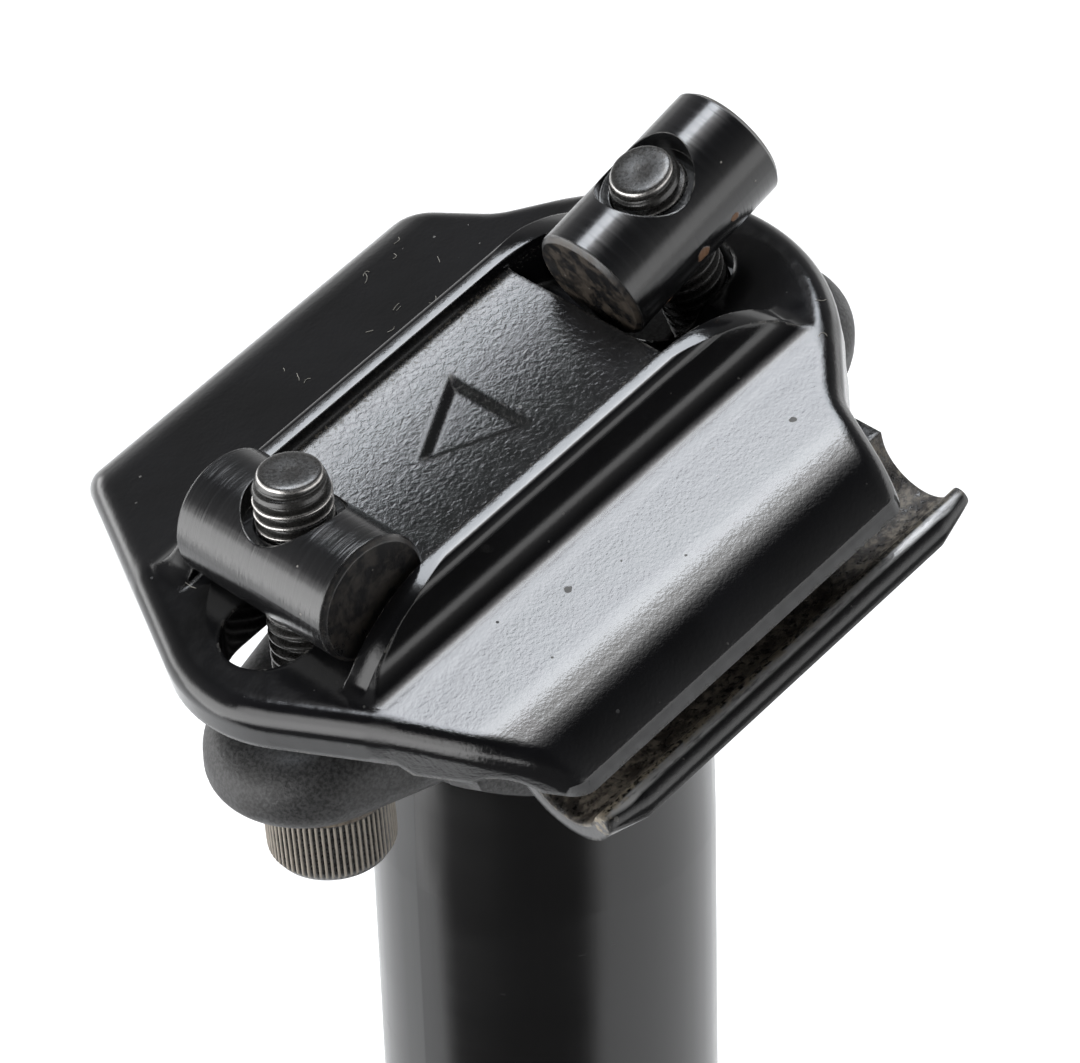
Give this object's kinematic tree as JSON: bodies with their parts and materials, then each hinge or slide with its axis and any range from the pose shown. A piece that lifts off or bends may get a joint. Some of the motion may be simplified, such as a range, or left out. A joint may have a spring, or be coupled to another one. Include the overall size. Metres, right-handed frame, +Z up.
{
  "type": "bicycle seatpost",
  "caption": "Bicycle seatpost: round tube with a forged head, a tilting rail cradle and upper clamp, and bolts with barrel nuts that hold and set the saddle angle.",
  "frame": {"origin": "centre of the tube's lower end", "axes": "+Z up along the tube, +X to the front of the bicycle, +Y to its left"},
  "size_m": [0.0648, 0.0552, 0.3758],
  "materials": {
    "tube_anodised": "satin black anodised",
    "head_blasted": "fine blasted matte black",
    "clamp_black": "gloss black coat, worn",
    "bolt_steel": "black oxide worn to bare steel on threads and knurl",
    "nut_steel": "black oxide with turning lines and rust spots",
    "washer_steel": "dull, brown with dirt"
  },
  "bodies": {
    "post": {"post_tube": "tube_anodised", "head": "head_blasted"},
    "clamp": {"lower_cradle": "clamp_black", "upper_clamp": "clamp_black"},
    "front_nut": {"front_barrel_nut": "nut_steel"},
    "front_bolt": {"front_bolt": "bolt_steel", "front_washer": "washer_steel"},
    "rear_nut": {"rear_barrel_nut": "nut_steel"},
    "rear_bolt": {"rear_bolt": "bolt_steel", "rear_washer": "washer_steel"}
  },
  "joints": [
    {"name": "saddle_tilt", "type": "hinge", "parent": "post", "child": "clamp", "pos_m": [0, 0, 0.346], "axis": [0, 1, 0], "range_deg": [-8, 8]},
    {"name": "front_nut_swing", "type": "hinge", "parent": "clamp", "child": "front_nut", "pos_m": [0.0232, 0, 0.35583], "axis": [0, 1, 0], "range_deg": [-4.99, 4.99]},
    {"name": "front_bolt_advance", "type": "slide", "parent": "front_nut", "child": "front_bolt", "axis": [0.0541, 0, 0.9985], "range_m": [-0.00341, 0.00341]},
    {"name": "rear_nut_swing", "type": "hinge", "parent": "clamp", "child": "rear_nut", "pos_m": [-0.01378, 0, 0.36817], "axis": [0, 1, 0], "range_deg": [-4.12, 4.12]},
    {"name": "rear_bolt_advance", "type": "slide", "parent": "rear_nut", "child": "rear_bolt", "axis": [0.3939, 0, 0.9191], "range_m": [-0.00322, 0.00322]}
  ],
  "couplings": [
    {"joint": "front_nut_swing", "follows": "saddle_tilt", "ratio": -0.57699},
    {"joint": "front_bolt_advance", "follows": "saddle_tilt", "m_per_rad": 0.022627},
    {"joint": "rear_nut_swing", "follows": "saddle_tilt", "ratio": -0.47665},
    {"joint": "rear_bolt_advance", "follows": "saddle_tilt", "m_per_rad": -0.021384}
  ]
}
